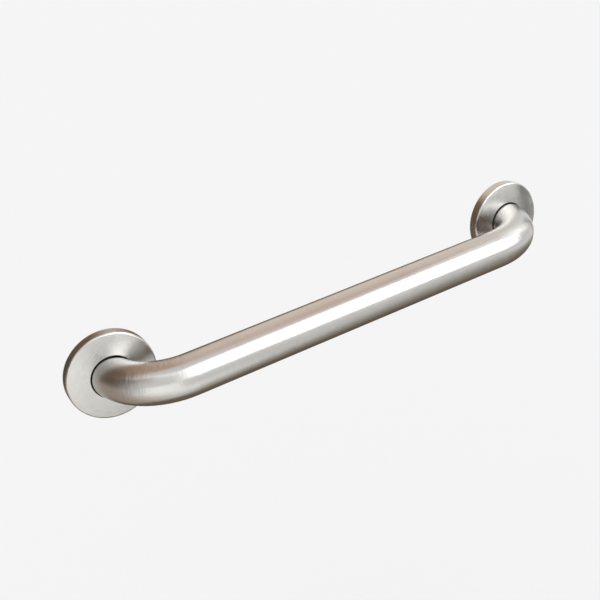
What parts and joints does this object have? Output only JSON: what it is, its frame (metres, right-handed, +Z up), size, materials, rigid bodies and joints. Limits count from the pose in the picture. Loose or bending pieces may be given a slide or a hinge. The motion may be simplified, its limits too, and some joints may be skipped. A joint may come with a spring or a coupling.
{
  "type": "grab bar",
  "caption": "Straight wall grab bar: a round brushed steel tube bent back to the wall at both ends, with welded screw flanges hidden under loose round press-on covers.",
  "frame": {"origin": "on the wall plane, midway between the two mounting flanges, level with the bar's axis", "axes": "+X along the bar, +Y into the wall, +Z up; the bar stands out from the wall towards -Y"},
  "size_m": [0.5294, 0.076, 0.082],
  "materials": {
    "tube_satin": "satin, fine brush marks round the tube",
    "cover_satin": "satin, fine brush marks round the hole",
    "flange_steel": "plain mill finish, not polished",
    "weld_steel": "as welded, rippled"
  },
  "bodies": {
    "bar": {"bar_tube": "tube_satin", "left_mounting_flange": "flange_steel", "right_mounting_flange": "flange_steel", "left_flange_weld": "weld_steel", "right_flange_weld": "weld_steel"},
    "left_cover_body": {"left_cover": "cover_satin"},
    "right_cover_body": {"right_cover": "cover_satin"}
  },
  "joints": [
    {"name": "left_cover_ride", "type": "hinge", "parent": "bar", "child": "left_cover_body", "pos_m": [-0.1685, -0.0005, 0], "axis": [0, 0, 1], "range_deg": [0, 78]},
    {"name": "right_cover_ride", "type": "hinge", "parent": "bar", "child": "right_cover_body", "pos_m": [0.1685, -0.0005, 0], "axis": [0, 0, -1], "range_deg": [0, 78]}
  ]
}
